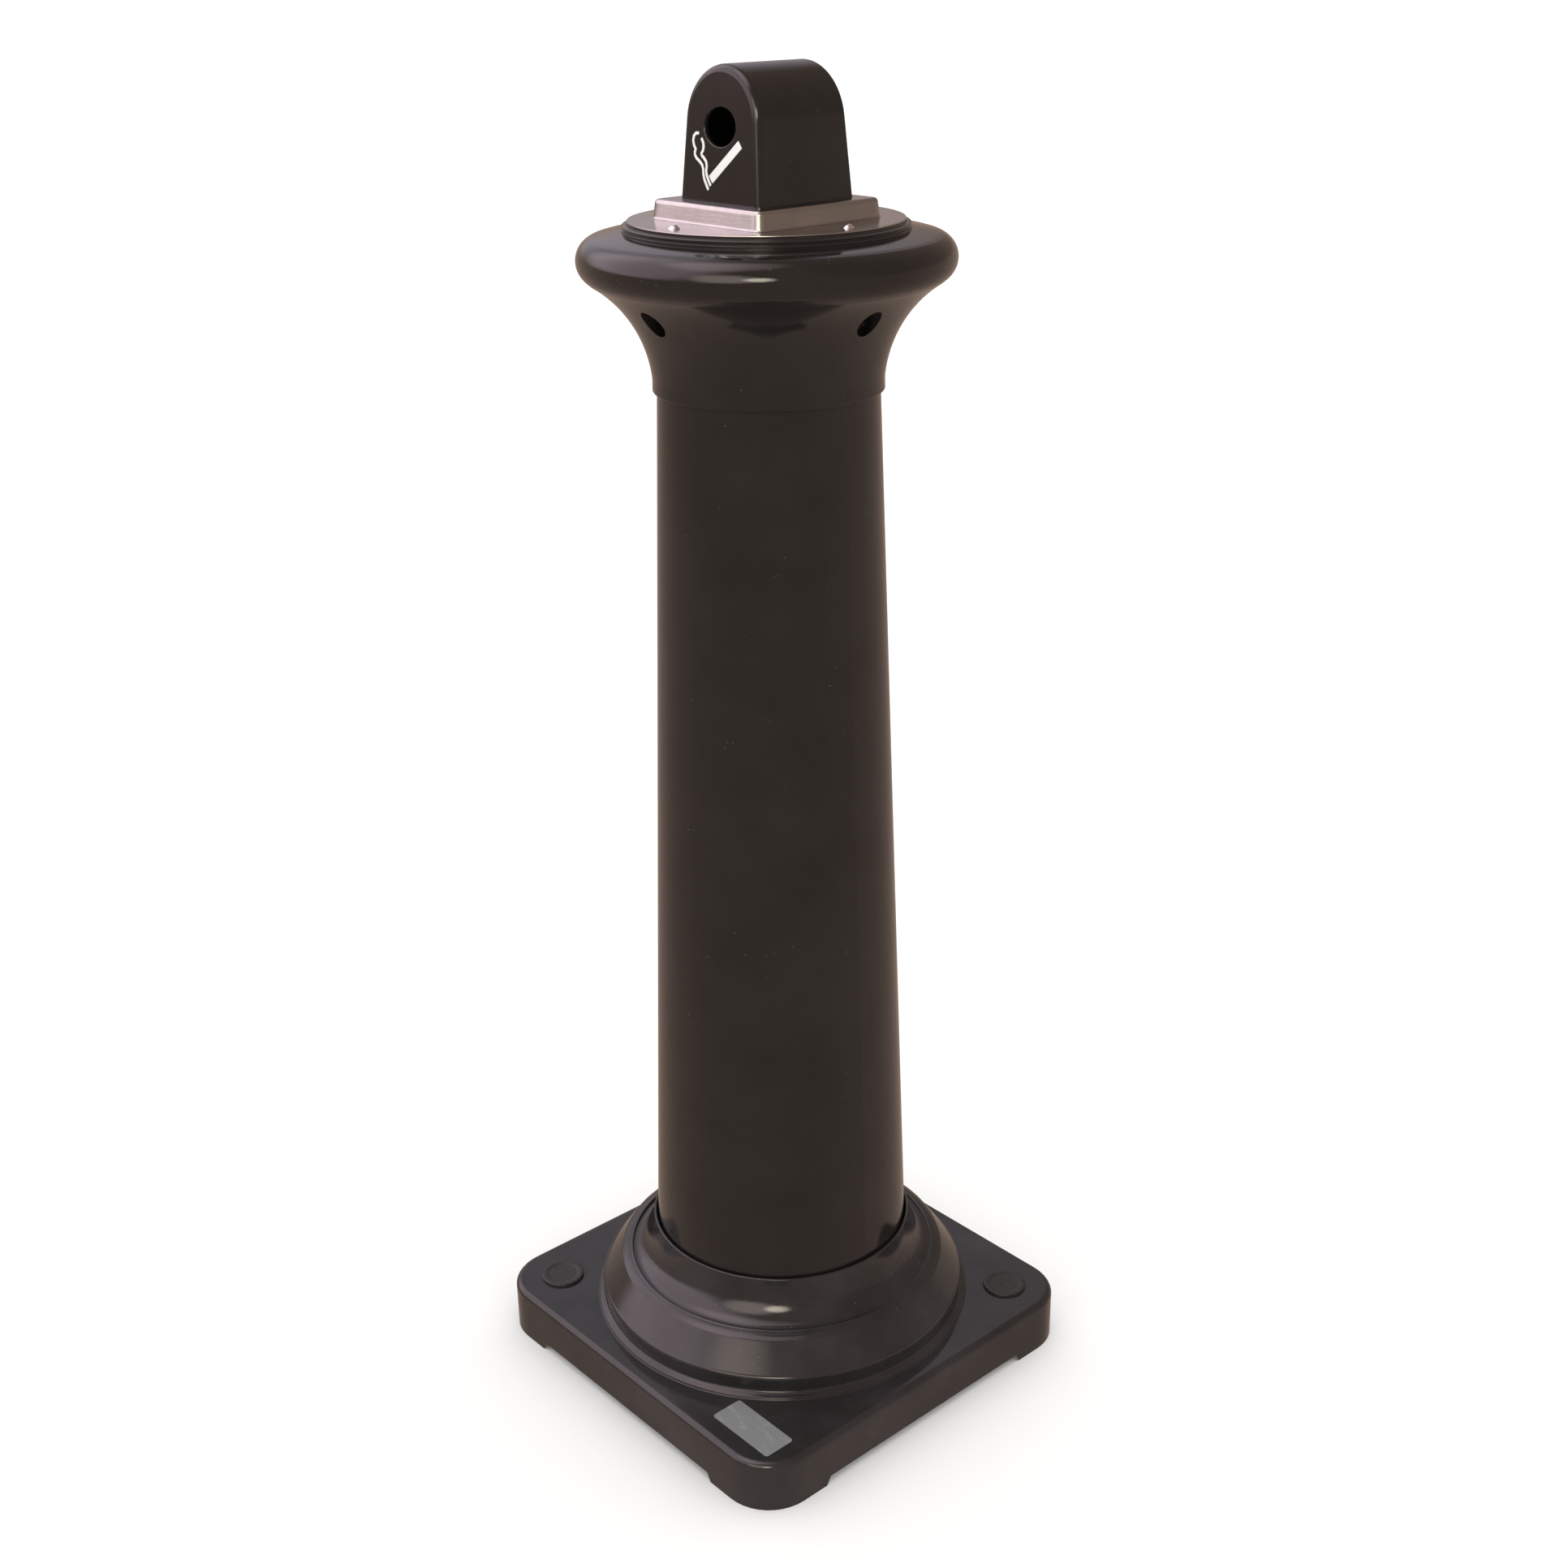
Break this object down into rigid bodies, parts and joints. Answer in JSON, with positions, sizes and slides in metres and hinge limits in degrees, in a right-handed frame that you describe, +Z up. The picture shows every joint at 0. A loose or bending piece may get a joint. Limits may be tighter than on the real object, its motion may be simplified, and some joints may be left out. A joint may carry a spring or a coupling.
{
  "type": "ashtray bin",
  "caption": "Free-standing pedestal ashtray bin: square base, tapered column, flared capital, steel stub plate and arched head with a butt hole; lifts apart to reach an inner pail.",
  "frame": {"origin": "centre of the base's footprint, on the ground", "axes": "+Z up along the column; -Y is the front, the side that the head's hole faces; +X is to the right seen from the front"},
  "size_m": [0.33, 0.33, 0.975],
  "materials": {
    "black_plastic": "semi-gloss moulded",
    "ring_plastic": "semi-gloss moulded",
    "plug_plastic": "matte moulded",
    "stainless": "satin",
    "rivet_steel": "polished",
    "galvanised": "galvanised, spangled",
    "bail_steel": "galvanised wire",
    "zinc_fasteners": "zinc plated",
    "cast_iron": "rough painted casting",
    "label_film": "satin film",
    "sign_white": "screen-printed white",
    "grip_plastic": "matte"
  },
  "bodies": {
    "base": {"base_shell": "black_plastic", "ballast_plate": "cast_iron", "ballast_screws": "zinc_fasteners", "base_label": "label_film"},
    "plug_left": {"anchor_plug_left": "plug_plastic"},
    "plug_right": {"anchor_plug_right": "plug_plastic"},
    "column": {"column_tube": "black_plastic", "capital_shell": "black_plastic", "capital_screws": "zinc_fasteners"},
    "lid": {"lid_ring": "ring_plastic", "snuff_plate": "stainless", "plate_rivets": "rivet_steel", "head_shell": "black_plastic", "head_screws": "zinc_fasteners", "pictogram": "sign_white", "drop_funnel": "galvanised", "funnel_screws": "zinc_fasteners"},
    "pail": {"pail_body": "galvanised", "pail_bottom": "galvanised", "pail_ears": "galvanised", "ear_rivets": "rivet_steel"},
    "bail": {"bail_wire": "bail_steel", "bail_grip": "grip_plastic"}
  },
  "joints": [
    {"name": "column_lift", "type": "slide", "parent": "base", "child": "column", "axis": [0, 0, 1], "range_m": [0, 0.35]},
    {"name": "lid_lift", "type": "slide", "parent": "column", "child": "lid", "axis": [0, 0, 1], "range_m": [0, 0.25]},
    {"name": "pail_lift", "type": "slide", "parent": "base", "child": "pail", "axis": [0, 0, 1], "range_m": [0, 0.15]},
    {"name": "bail_swing", "type": "hinge", "parent": "pail", "child": "bail", "pos_m": [0, 0, 0.286], "axis": [1, 0, 0], "range_deg": [0, 218]},
    {"name": "plug_left_pull", "type": "slide", "parent": "base", "child": "plug_left", "axis": [0, 0, 1], "range_m": [0, 0.03]},
    {"name": "plug_right_pull", "type": "slide", "parent": "base", "child": "plug_right", "axis": [0, 0, 1], "range_m": [0, 0.03]}
  ]
}
